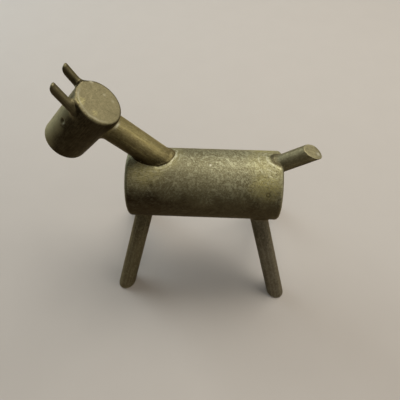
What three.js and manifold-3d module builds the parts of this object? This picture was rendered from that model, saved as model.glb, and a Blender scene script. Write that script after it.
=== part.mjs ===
// Donkey figurine made of lengths of round brass bar.
//
// Ten separate lengths of bar: a thick horizontal body, a thinner neck rising from
// its front end, a short thick head set square across the neck, two small ears,
// a stub tail and four splayed legs. Every bar that lands on a thicker one has its
// end coped to the round of that bar.
//
// Millimetres, +Z up. The body lies along X with the head towards -X and the tail
// towards +X; the animal's left side is -Y. The origin is on the ground, under the
// centre of the figurine's bounding box.

import * as THREE from 'three';
import { mergeVertices } from 'three/addons/utils/BufferGeometryUtils.js';
import Module from 'manifold-3d';

const wasm = await Module();
wasm.setup();
const { Manifold, Mesh: SolidMesh } = wasm;

// ---------------------------------------------------------------- dimensions
const FIT_GAP = 0.3;            // clearance between a coped end and the bar it sits on

const BODY_DIAMETER = 25.4;
const BODY_LENGTH = 54.9;
const BODY_EDGE = 1.3;          // rounding of the two end rims
const BODY_AXIS_HEIGHT = 42.8;  // body axis above the ground
const BODY_CENTRE_X = 6.4;      // body centre ahead of the figurine's centre

const NECK_DIAMETER = 9.5;
const NECK_FOOT = [-17.84, 1.86]; // where the neck axis crosses the height of the body's top line: along the body, to the right
const NECK_RISE = 45.2;         // degrees above horizontal
const NECK_TO_HEAD_AXIS = 26.1; // from the body's top line to the head axis

const HEAD_DIAMETER = 15.9;     // at the crown
const HEAD_TAPER = 0.4;         // how much smaller the radius is at the nose
const HEAD_LENGTH = 23.6;
const HEAD_BACK = 5.9;          // flat crown end to the neck axis
const CROWN_EDGE = 0.6;         // the crown's rim is only just eased
const NOSE_EDGE = 1.15;         // the nose end is rounded over
const HEAD_TURN = 3.8;          // degrees past square to the neck, crown up
const HEAD_ROLL = 2.5;          // degrees the crown leans to the animal's left

const EAR_DIAMETER = 2.9;
const EAR_LENGTH = { left: 12.3, right: 11.1 }; // long edge, from 4 mm off the head's axis
const EAR_FROM_CROWN = 3.98;
const EAR_SPACING = 9.9;        // centre to centre at the start
const EAR_SPLAY = 0.7;          // degrees outwards
const EAR_LEAN = 22.2;          // degrees back from square to the forehead
const EAR_CUT = 26;             // slant of the cut tip
const EAR_START = 3.92;         // the ears' axes start this far off the head's axis

const EYE_DIAMETER = 1.9;
const EYE_DEPTH = 0.5;
const EYE_FROM_CROWN = 10.2;
const EYE_ANGLE = 40;           // degrees round from the middle of the forehead

const TAIL_DIAMETER = 6.3;
const TAIL_RISE = 32.8;
const TAIL_LINE = [24.22, 1.3, 9.03]; // a point of the tail's axis: along the body, to the right, above its axis
const TAIL_LENGTH = 14.9;       // from that point to the middle of the cut
const TAIL_CUT_NORMAL = 68;     // elevation of the cut's outward normal
const TAIL_START = -3.5;        // the tail starts this far before that point

const LEG_DIAMETER = 6.61;
const LEG_EDGE = 0.6;           // rounding of the foot's rim
// foot and hip points of the leg axes on the +Y side: [x, y], the hips lie at HIP_DROP under the body axis
const FRONT_FOOT = [-31.92, 20.6], FRONT_HIP = [-22.28, 3.98];
const REAR_FOOT = [30.61, 22.15], REAR_HIP = [20.93, 7.82];
const HIP_DROP = 9.94;

const SIDES = { body: 80, head: 64, neck: 44, leg: 32, tail: 32, ear: 24 };

// ---------------------------------------------------------------- materials
const BRASS = { color: 0x6f6342, roughness: 0.5, metalness: 0.9 };
const material = (shade = 1) => {
  const m = new THREE.MeshStandardMaterial(BRASS);
  m.color.multiplyScalar(shade);
  return m;
};

// ---------------------------------------------------------------- solids
// closed geometry -> welded position-only geometry without collapsed triangles, faces out
function weld(geometry) {
  let g = geometry.clone();
  g.deleteAttribute('normal');
  g.deleteAttribute('uv');
  g = mergeVertices(g, 1e-5);
  const kept = [], p = g.attributes.position;
  const idx = g.index.array;
  const a = new THREE.Vector3(), b = new THREE.Vector3(), c = new THREE.Vector3();
  let volume = 0;
  for (let i = 0; i < idx.length; i += 3) {
    const [u, v, w] = [idx[i], idx[i + 1], idx[i + 2]];
    if (u === v || v === w || w === u) continue;
    a.fromBufferAttribute(p, u); b.fromBufferAttribute(p, v); c.fromBufferAttribute(p, w);
    volume += a.dot(b.cross(c)) / 6;
    kept.push(u, v, w);
  }
  if (volume < 0) for (let i = 0; i < kept.length; i += 3) [kept[i + 1], kept[i + 2]] = [kept[i + 2], kept[i + 1]];
  g.setIndex(kept);
  return g;
}
function toSolid(geometry) {
  const g = weld(geometry);
  return new Manifold(new SolidMesh({
    numProp: 3,
    vertProperties: new Float32Array(g.attributes.position.array),
    triVerts: new Uint32Array(g.index.array),
  }));
}
function toGeometry(solid) {
  const m = solid.getMesh();
  const g = new THREE.BufferGeometry();
  g.setAttribute('position', new THREE.BufferAttribute(new Float32Array(m.vertProperties), 3));
  g.setIndex(new THREE.BufferAttribute(new Uint32Array(m.triVerts), 1));
  g.computeVertexNormals();
  return g;
}

// round bar along local +Z from z0 to z1, its rims rounded by e0 and e1, its radius smaller by `taper` at z0
function barGeometry(diameter, z0, z1, sides, e0 = 0, e1 = 0, taper = 0, steps = 4) {
  const r = diameter / 2, r0 = r - taper, profile = [new THREE.Vector2(0, z0)];
  if (e0 > 0) {
    for (let i = 0; i <= steps; i++) {
      const t = (i / steps) * Math.PI / 2;
      profile.push(new THREE.Vector2(r0 - e0 + e0 * Math.sin(t), z0 + e0 - e0 * Math.cos(t)));
    }
  } else profile.push(new THREE.Vector2(r0, z0));
  if (e1 > 0) {
    for (let i = 0; i <= steps; i++) {
      const t = (i / steps) * Math.PI / 2;
      profile.push(new THREE.Vector2(r - e1 + e1 * Math.cos(t), z1 - e1 + e1 * Math.sin(t)));
    }
  } else profile.push(new THREE.Vector2(r, z1));
  profile.push(new THREE.Vector2(0, z1));
  return new THREE.LatheGeometry(profile, sides).rotateX(Math.PI / 2);
}

// big block whose one face passes through `point` with its outward side along `normal`
function halfSpace(point, normal, size = 60) {
  const g = new THREE.BoxGeometry(size, size, size).translate(0, 0, size / 2);
  const q = new THREE.Quaternion().setFromUnitVectors(new THREE.Vector3(0, 0, 1), normal.clone().normalize());
  return g.applyQuaternion(q).translate(point.x, point.y, point.z);
}

// a node: a mesh named `name`, placed in `parent` with its local +Z along `direction`
function place(parent, name, start, direction, shade) {
  const mesh = new THREE.Mesh(new THREE.BufferGeometry(), material(shade));
  mesh.name = name;
  mesh.position.copy(start);
  mesh.quaternion.setFromUnitVectors(new THREE.Vector3(0, 0, 1), direction.clone().normalize());
  parent.add(mesh);
  mesh.updateWorldMatrix(true, false);
  return mesh;
}
// a cutter given in the frame of `from`, brought into the frame of `to`
function bring(geometry, from, to) {
  to.updateWorldMatrix(true, false);
  from.updateWorldMatrix(true, false);
  return geometry.clone().applyMatrix4(new THREE.Matrix4().copy(to.matrixWorld).invert().multiply(from.matrixWorld));
}
const deg = THREE.MathUtils.degToRad;
const V = (x, y, z) => new THREE.Vector3(x, y, z);
const inXZ = (angle) => V(Math.cos(deg(angle)), 0, Math.sin(deg(angle)));

// ---------------------------------------------------------------- figurine
const donkey = new THREE.Group();
const torso = new THREE.Group();
torso.position.set(BODY_CENTRE_X, 0, BODY_AXIS_HEIGHT);
donkey.add(torso);

// body: +Z of the bar runs towards the tail
const body = place(torso, 'body', V(-BODY_LENGTH / 2, 0, 0), V(1, 0, 0), 1);
body.geometry = toGeometry(toSolid(barGeometry(BODY_DIAMETER, 0, BODY_LENGTH, SIDES.body, BODY_EDGE, BODY_EDGE)));
const bodyCutter = barGeometry(BODY_DIAMETER + 2 * FIT_GAP, -FIT_GAP, BODY_LENGTH + FIT_GAP, SIDES.body, BODY_EDGE, BODY_EDGE);

// head group: origin where the neck's axis meets the head's, +Z towards the crown,
// +X towards the neck, so the forehead faces -X
const neckDirection = inXZ(180 - NECK_RISE);
const neckFoot = V(NECK_FOOT[0], NECK_FOOT[1], BODY_DIAMETER / 2);
const headGroup = new THREE.Group();
headGroup.position.copy(neckFoot).addScaledVector(neckDirection, NECK_TO_HEAD_AXIS);
headGroup.rotation.set(deg(HEAD_ROLL), deg(NECK_RISE - HEAD_TURN), 0, 'YXZ');
torso.add(headGroup);

const head = place(headGroup, 'head', V(0, 0, HEAD_BACK - HEAD_LENGTH), V(0, 0, 1), 0.95);
let headSolid = toSolid(barGeometry(HEAD_DIAMETER, 0, HEAD_LENGTH, SIDES.head, NOSE_EDGE, CROWN_EDGE, HEAD_TAPER));
for (const side of [-1, 1]) {
  // drill-point dimple
  const r = HEAD_DIAMETER / 2 - HEAD_TAPER * EYE_FROM_CROWN / HEAD_LENGTH, over = 0.6;
  const cone = new THREE.LatheGeometry([
    new THREE.Vector2(0, r - EYE_DEPTH),
    new THREE.Vector2((EYE_DIAMETER / 2) * (EYE_DEPTH + over) / EYE_DEPTH, r + over),
    new THREE.Vector2(0, r + over)], 16);
  cone.rotateZ(Math.PI / 2);                       // its axis now points along -X, out of the forehead
  cone.rotateZ(side * -deg(EYE_ANGLE));
  cone.translate(0, 0, HEAD_LENGTH - EYE_FROM_CROWN);
  headSolid = headSolid.subtract(toSolid(cone));
}
head.geometry = toGeometry(headSolid);
const headCutter = barGeometry(HEAD_DIAMETER + 2 * FIT_GAP, -FIT_GAP, HEAD_LENGTH + FIT_GAP, SIDES.head, NOSE_EDGE, CROWN_EDGE, HEAD_TAPER);

// neck: coped to the body below and to the head above
const neck = place(torso, 'neck', neckFoot, neckDirection, 1.05);
neck.geometry = toGeometry(
  toSolid(barGeometry(NECK_DIAMETER, -10, NECK_TO_HEAD_AXIS, SIDES.neck))
    .subtract(toSolid(bring(bodyCutter, body, neck)))
    .subtract(toSolid(bring(headCutter, head, neck))));

// ears: coped to the head, tips cut on the slant with the point at the back
for (const [name, side, reach] of [['ear_left', -1, EAR_LENGTH.left], ['ear_right', 1, EAR_LENGTH.right]]) {
  const direction = V(-Math.cos(deg(EAR_LEAN)), 0, Math.sin(deg(EAR_LEAN)))
    .multiplyScalar(Math.cos(deg(EAR_SPLAY))).add(V(0, side * Math.sin(deg(EAR_SPLAY)), 0));
  const ear = place(headGroup, name, V(-EAR_START, side * EAR_SPACING / 2, HEAD_BACK - EAR_FROM_CROWN), direction, 0.95);
  // back edge of the ear in its own frame: the side that faces the crown
  const inv = ear.quaternion.clone().invert();
  const back = V(Math.sin(deg(EAR_LEAN)), 0, Math.cos(deg(EAR_LEAN))).applyQuaternion(inv).setZ(0).normalize();
  const tip = back.clone().multiplyScalar(EAR_DIAMETER / 2).add(V(0, 0, reach));
  const normal = V(0, 0, Math.cos(deg(EAR_CUT))).addScaledVector(back, -Math.sin(deg(EAR_CUT)));
  ear.geometry = toGeometry(
    toSolid(barGeometry(EAR_DIAMETER, 0, reach + 1, SIDES.ear))
      .subtract(toSolid(halfSpace(tip, normal)))
      .subtract(toSolid(bring(headCutter, head, ear))));
}

// tail: leaves the body's top edge at the rear, end cut on the slant
{
  const direction = inXZ(TAIL_RISE);
  const start = V(...TAIL_LINE).addScaledVector(direction, TAIL_START);
  const tail = place(torso, 'tail', start, direction, 1);
  const inv = tail.quaternion.clone().invert();
  const normal = inXZ(TAIL_CUT_NORMAL).applyQuaternion(inv);
  const length = TAIL_LENGTH - TAIL_START;
  // the part of the root that would hang past the body's end is filed off in line with it
  const rootPoint = V(BODY_LENGTH / 2, 0, BODY_DIAMETER / 2 - 4.2).sub(start).applyQuaternion(inv);
  const rootNormal = V(0.25, 0, -1).normalize().applyQuaternion(inv);
  tail.geometry = toGeometry(
    toSolid(barGeometry(TAIL_DIAMETER, 0, length + 12, SIDES.tail))
      .subtract(toSolid(halfSpace(V(0, 0, length), normal)))
      .subtract(toSolid(halfSpace(rootPoint, rootNormal)))
      .subtract(toSolid(bring(bodyCutter, body, tail))));
}

// legs: coped to the body above, cut flat on the ground below
const legs = [
  ['leg_front_left', FRONT_FOOT, FRONT_HIP, -1], ['leg_front_right', FRONT_FOOT, FRONT_HIP, 1],
  ['leg_rear_left', REAR_FOOT, REAR_HIP, -1], ['leg_rear_right', REAR_FOOT, REAR_HIP, 1]];
for (const [name, foot, hip, side] of legs) {
  const start = V(foot[0], side * foot[1], -BODY_AXIS_HEIGHT);
  const end = V(hip[0], side * hip[1], -HIP_DROP);
  const direction = end.clone().sub(start);
  const length = direction.length() + 4;
  direction.normalize();
  const leg = place(torso, name, start, direction, 0.85);
  const inv = leg.quaternion.clone().invert();
  const down = V(0, 0, -1).applyQuaternion(inv);
  // the bar is sheared to the ground and its rim eased by a slightly wider, lower facet
  let solid = toSolid(barGeometry(LEG_DIAMETER, -4, length, SIDES.leg))
    .subtract(toSolid(halfSpace(V(0, 0, 0), down)));
  const eased = toSolid(footEase(start, direction, inv));
  solid = solid.intersect(eased).subtract(toSolid(bring(bodyCutter, body, leg)));
  leg.geometry = toGeometry(solid);
}

// envelope of a leg whose foot rim is bevelled by LEG_EDGE: the leaning bar's outline on the
// ground, drawn in by LEG_EDGE, growing to the full outline LEG_EDGE above the ground
function footEase(start, direction, inv) {
  const n = SIDES.leg, r = LEG_DIAMETER / 2, levels = [[0, -LEG_EDGE], [LEG_EDGE, 0.02], [60, 0.02]];
  const u = V(0, 1, 0).cross(direction).normalize(), w = direction.clone().cross(u);
  const position = [], index = [];
  for (const [h, grow] of levels) {
    for (let i = 0; i < n; i++) {
      const t = (i / n) * 2 * Math.PI;
      const p = u.clone().multiplyScalar((r + grow) * Math.cos(t)).addScaledVector(w, (r + grow) * Math.sin(t));
      p.addScaledVector(direction, (h - p.z) / direction.z);
      p.applyQuaternion(inv);
      position.push(p.x, p.y, p.z);
    }
  }
  for (let k = 0; k < levels.length - 1; k++) for (let i = 0; i < n; i++) {
    const a = k * n + i, b = k * n + (i + 1) % n;
    index.push(a, b, b + n, a, b + n, a + n);
  }
  for (let i = 1; i < n - 1; i++) {
    index.push(0, i + 1, i);
    const top = (levels.length - 1) * n;
    index.push(top, top + i, top + i + 1);
  }
  const g = new THREE.BufferGeometry();
  g.setAttribute('position', new THREE.Float32BufferAttribute(position, 3));
  g.setIndex(index);
  return g;
}

donkey.updateMatrixWorld(true);
export default donkey;
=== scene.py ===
import math

import bpy
import numpy as np
from mathutils import Matrix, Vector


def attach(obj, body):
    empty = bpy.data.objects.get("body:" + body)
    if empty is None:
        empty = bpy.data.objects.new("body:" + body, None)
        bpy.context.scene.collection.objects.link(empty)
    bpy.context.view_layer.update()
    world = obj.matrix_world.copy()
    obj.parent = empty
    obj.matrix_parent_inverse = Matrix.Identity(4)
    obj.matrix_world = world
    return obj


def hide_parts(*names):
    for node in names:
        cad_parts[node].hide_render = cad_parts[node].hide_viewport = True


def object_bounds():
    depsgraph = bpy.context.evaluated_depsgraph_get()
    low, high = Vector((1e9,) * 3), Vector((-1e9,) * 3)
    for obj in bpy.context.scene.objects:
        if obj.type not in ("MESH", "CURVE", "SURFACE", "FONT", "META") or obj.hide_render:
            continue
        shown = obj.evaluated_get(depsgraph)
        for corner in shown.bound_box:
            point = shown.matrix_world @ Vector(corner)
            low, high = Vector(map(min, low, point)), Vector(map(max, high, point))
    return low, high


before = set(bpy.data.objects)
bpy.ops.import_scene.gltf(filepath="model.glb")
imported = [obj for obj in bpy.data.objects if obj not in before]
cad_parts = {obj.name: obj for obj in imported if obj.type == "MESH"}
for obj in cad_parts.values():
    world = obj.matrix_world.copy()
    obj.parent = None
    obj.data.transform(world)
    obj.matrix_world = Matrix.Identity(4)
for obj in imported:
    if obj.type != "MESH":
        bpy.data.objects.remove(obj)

CAD_BOX = [[float(x) for x in c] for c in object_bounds()]
MM = 0.001

# ------------------------------------------------------------------ dimensions, millimetres
BODY_R, BODY_L, BODY_EDGE, AXIS_Z, BODY_X = 12.7, 54.9, 1.3, 42.8, 6.4
NECK_R, NECK_FOOT, NECK_RISE, NECK_TO_HEAD = 4.75, (-17.84, 1.86), 45.2, 26.1
HEAD_R, HEAD_TAPER, HEAD_L, HEAD_BACK, CROWN_EDGE, NOSE_EDGE = 7.95, 0.4, 23.6, 5.9, 0.6, 1.15
HEAD_TURN, HEAD_ROLL = 3.8, 2.5
EAR_R, EAR_FROM_CROWN, EAR_SPACING, EAR_SPLAY, EAR_LEAN, EAR_CUT, EAR_START = 1.45, 3.98, 9.9, 0.7, 22.2, 26.0, 3.92
EAR_REACH = {"left": 12.3, "right": 11.1}
EYE_FROM_CROWN, EYE_ANGLE, EYE_R, EYE_DEPTH = 10.2, 40.0, 0.95, 0.5
TAIL_R, TAIL_RISE, TAIL_LINE, TAIL_L, TAIL_NORMAL = 3.15, 32.8, (24.22, 1.3, 9.03), 14.9, 68.0
LEG_R, LEG_EDGE, HIP_DROP = 3.305, 0.6, 9.94
FRONT_FOOT, FRONT_HIP = (-31.92, 20.6), (-22.28, 3.98)
REAR_FOOT, REAR_HIP = (30.61, 22.15), (20.93, 7.82)

rad = math.radians
ORIGIN = np.array([BODY_X, 0.0, AXIS_Z])
FOOT_REACH = CAD_BOX[1][1] / MM - 0.02


def unit(v):
    v = np.asarray(v, float)
    return v / np.linalg.norm(v)


def units(v):
    return v / np.maximum(np.linalg.norm(v, axis=1), 1e-12)[:, None]


def in_xz(angle):
    return np.array([math.cos(rad(angle)), 0.0, math.sin(rad(angle))])


def smooth(x, a, b):
    t = np.clip((x - a) / (b - a), 0, 1)
    return t * t * (3 - 2 * t)


# ------------------------------------------------------------------ camera
def make_camera():
    data = bpy.data.cameras.new("camera")
    data.sensor_fit, data.sensor_width, data.lens = "HORIZONTAL", 36.0, 36.729
    data.clip_start, data.clip_end = 0.001, 20.0
    yaw, pitch, roll = -0.053541349, 0.931911848, -0.009116859
    s, c = math.sin, math.cos
    forward = np.array([s(yaw) * c(pitch), c(yaw) * c(pitch), -s(pitch)])
    right = np.array([c(yaw), -s(yaw), 0.0])
    up = np.cross(right, forward)
    r2, u2 = c(roll) * right + s(roll) * up, -s(roll) * right + c(roll) * up
    m = Matrix.Identity(4)
    for i in range(3):
        m[i][0], m[i][1], m[i][2] = r2[i], u2[i], -forward[i]
        m[i][3] = (0.0098456, -0.0952768, 0.1605936)[i]
    cam = bpy.data.objects.new("camera", data)
    bpy.context.scene.collection.objects.link(cam)
    cam.matrix_world = m
    bpy.context.scene.camera = cam


make_camera()


# ------------------------------------------------------------------ noise on points
def _hash(ix, iy, iz, seed):
    m = np.uint64(0xFFFFFFFF)
    h = (ix.astype(np.uint64) * np.uint64(374761393) + iy.astype(np.uint64) * np.uint64(668265263)
         + iz.astype(np.uint64) * np.uint64(2246822519) + np.uint64(seed * 3266489917 & 0xFFFFFFFF)) & m
    for shift, k in ((15, 2246822519), (13, 3266489917)):
        h = ((h ^ (h >> np.uint64(shift))) * np.uint64(k)) & m
    h ^= h >> np.uint64(16)
    return (h & np.uint64(0xFFFFFF)).astype(float) / 0xFFFFFF


def noise(P, size, seed):
    """smooth noise from -1 to 1 whose lumps are about `size` millimetres across"""
    Q = P / size + 1000.0
    I = np.floor(Q).astype(np.int64)
    f = Q - I
    f = f * f * f * (f * (f * 6 - 15) + 10)
    out = np.zeros(len(P))
    for dx in (0, 1):
        for dy in (0, 1):
            for dz in (0, 1):
                w = ((f[:, 0] if dx else 1 - f[:, 0]) * (f[:, 1] if dy else 1 - f[:, 1])
                     * (f[:, 2] if dz else 1 - f[:, 2]))
                out += w * _hash(I[:, 0] + dx, I[:, 1] + dy, I[:, 2] + dz, seed)
    return out * 2 - 1


def fbm(P, size, seed, octaves=4, gain=0.5):
    out, amp, total = np.zeros(len(P)), 1.0, 0.0
    for k in range(octaves):
        out += amp * noise(P, size / 2 ** k, seed + 17 * k)
        total += amp
        amp *= gain
    return out / total


def pits(P, cell, share, r_low, r_high, seed):
    """how deep, 0 to 1, each point lies in scattered round pits; `share` of the cells hold one"""
    Q = P / cell + 500.0
    I = np.floor(Q).astype(np.int64)
    out = np.zeros(len(P))
    for dx in (-1, 0, 1):
        for dy in (-1, 0, 1):
            for dz in (-1, 0, 1):
                c = [I[:, 0] + dx, I[:, 1] + dy, I[:, 2] + dz]
                has = np.nonzero(_hash(*c, seed) < share)[0]
                if not len(has):
                    continue
                c = [k[has] for k in c]
                centre = np.stack([c[k] + _hash(*c, seed + 3 + k) for k in range(3)], -1)
                r = (r_low + (r_high - r_low) * _hash(*c, seed + 9) ** 2) / cell
                d = np.linalg.norm(Q[has] - centre, axis=1) / r
                k = np.clip(1 - d * d, 0, 1)
                out[has] = np.maximum(out[has], k * k * (0.4 + 0.6 * _hash(*c, seed + 11)))
    return out


# ------------------------------------------------------------------ solids
class Axes:
    """a bar's own frame: z runs along the bar, angle 0 faces `side`"""

    def __init__(self, origin, axis, side=(0.0, 1.0, 0.0)):
        self.o, self.w = np.asarray(origin, float), unit(axis)
        side = np.asarray(side, float)
        self.u = unit(side - self.w * (side @ self.w))
        self.v = np.cross(self.w, self.u)

    def world(self, x, y, z):
        return self.o + np.outer(x, self.u) + np.outer(y, self.v) + np.outer(z, self.w)

    def local(self, P):
        d = P - self.o
        return d @ self.u, d @ self.v, d @ self.w


class Round:
    """distance to a round bar with eased rims"""

    def __init__(self, axes, radius, length, edge):
        self.a, self.r, self.l, self.e = axes, radius, length, edge

    def distance(self, P):
        x, y, z = self.a.local(P)
        q = np.stack([np.hypot(x, y) - (self.r - self.e), np.abs(z - self.l / 2) - (self.l / 2 - self.e)], -1)
        return np.minimum(q.max(1), 0) + np.linalg.norm(np.maximum(q, 0), axis=1) - self.e

    def normal(self, P):
        h = 1e-3
        return units(np.stack([self.distance(P + h * e) - self.distance(P - h * e) for e in np.eye(3)], -1))

    def onto(self, P, sink=0.0):
        for _ in range(3):
            P = P - self.normal(P) * (self.distance(P) + sink)[:, None]
        return P

    def reach(self, axes, x, y, z_free, towards):
        """z at which lines along `axes` at (x, y), started at z_free, first touch this bar"""
        z = np.full(len(x), float(z_free))
        for _ in range(120):
            z = z + towards * np.maximum(self.distance(axes.world(x, y, z)), 0) * 0.98
        return z


def bar(ax, radius, around, along, rings, edges, start, end, spread=None):
    """closed round bar between the surfaces z = start(x, y) and z = end(x, y), rims eased by `edges`.
    Rows run over the start face, the side and the end face. region is 0 on the start face, 1 on the side, 2 on the end face."""
    e0, e1 = edges
    steps = 6
    prof = [((radius - e0) * i / rings, 0.0, 0, 0.0) for i in range(1, rings + 1)]
    for i in range(1, steps + 1):
        t = math.pi / 2 * i / steps
        prof.append((radius - e0 + e0 * math.sin(t), e0 - e0 * math.cos(t), 0, i / steps))
    for i in range(1, along):
        prof.append((radius, i / along, 2, 1.0))
    for i in range(steps, 0, -1):
        t = math.pi / 2 * i / steps
        prof.append((radius - e1 + e1 * math.sin(t), e1 - e1 * math.cos(t), 1, 2 - i / steps))
    prof += [((radius - e1) * i / rings, 0.0, 1, 2.0) for i in range(rings, 0, -1)]
    a = np.arange(around) * 2 * math.pi / around
    if spread is not None:
        a = spread(a)
    ca, sa = np.cos(a), np.sin(a)
    rows, region, ang, rr, zz = [], [], [], [], []
    z0r, z1r = start(radius * ca, radius * sa), end(radius * ca, radius * sa)
    for pr, off, which, reg in prof:
        x, y = pr * ca, pr * sa
        if which == 0:
            z = start(x, y) + off
        elif which == 1:
            z = end(x, y) - off
        else:
            z = (z0r + e0) + (z1r - e1 - z0r - e0) * off
        rows.append(ax.world(x, y, z))
        region.append(np.full(around, reg)); ang.append(a); rr.append(np.full(around, pr)); zz.append(z)
    o = np.zeros(1)
    first, last = ax.world(o, o, start(o, o)), ax.world(o, o, end(o, o))
    V = np.vstack(rows + [first, last])
    n = len(V) - 2
    info = dict(region=np.concatenate(region + [[0.0], [2.0]]), ang=np.concatenate(ang + [o, o]),
                r=np.concatenate(rr + [o, o]), z=np.concatenate(zz + [start(o, o), end(o, o)]))
    info["ang"] = (info["ang"] + math.pi) % (2 * math.pi) - math.pi
    i = np.arange(around); j = (i + 1) % around
    quads = np.vstack([np.stack([k * around + i, k * around + j, (k + 1) * around + j, (k + 1) * around + i], -1)
                       for k in range(len(prof) - 1)])
    m = (len(prof) - 1) * around
    tris = np.vstack([np.stack([np.full(around, n), j, i], -1), np.stack([np.full(around, n + 1), m + i, m + j], -1)])
    return V, quads, tris, info


def corner_normals(V, quads, tris):
    n = np.zeros_like(V)
    for F in (quads, tris):
        if len(F):
            d = np.cross(V[F[:, 2]] - V[F[:, 0]], V[F[:, -1]] - V[F[:, 1]]) if F.shape[1] == 4 \
                else np.cross(V[F[:, 1]] - V[F[:, 0]], V[F[:, 2]] - V[F[:, 0]])
            for k in range(F.shape[1]):
                np.add.at(n, F[:, k], d)
    return units(n)


def volume(V, quads, tris):
    t = [tris] if len(tris) else []
    if len(quads):
        t += [quads[:, [0, 1, 2]], quads[:, [0, 2, 3]]]
    t = np.vstack(t)
    return (V[t[:, 0]] * np.cross(V[t[:, 1]], V[t[:, 2]])).sum() / 6


def piece(name, V, quads, tris, fields, material, replaces=None):
    if volume(V, quads, tris) < 0:
        quads, tris = quads[:, ::-1], tris[:, ::-1]
    me = bpy.data.meshes.new(name)
    me.from_pydata((V * MM).tolist(), [], [*map(tuple, quads.tolist()), *map(tuple, tris.tolist())])
    me.polygons.foreach_set("use_smooth", np.ones(len(me.polygons), bool))
    for key, values in fields.items():
        values = np.asarray(values, np.float32)
        if values.ndim == 1:
            me.attributes.new(key, "FLOAT", "POINT").data.foreach_set("value", values)
        else:
            me.attributes.new(key, "FLOAT_VECTOR", "POINT").data.foreach_set("vector", values.ravel())
    me.materials.append(material)
    me.update()
    ob = bpy.data.objects.new(name, me)
    bpy.context.scene.collection.objects.link(ob)
    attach(ob, "root")
    if replaces:
        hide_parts(replaces)
    return ob


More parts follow.
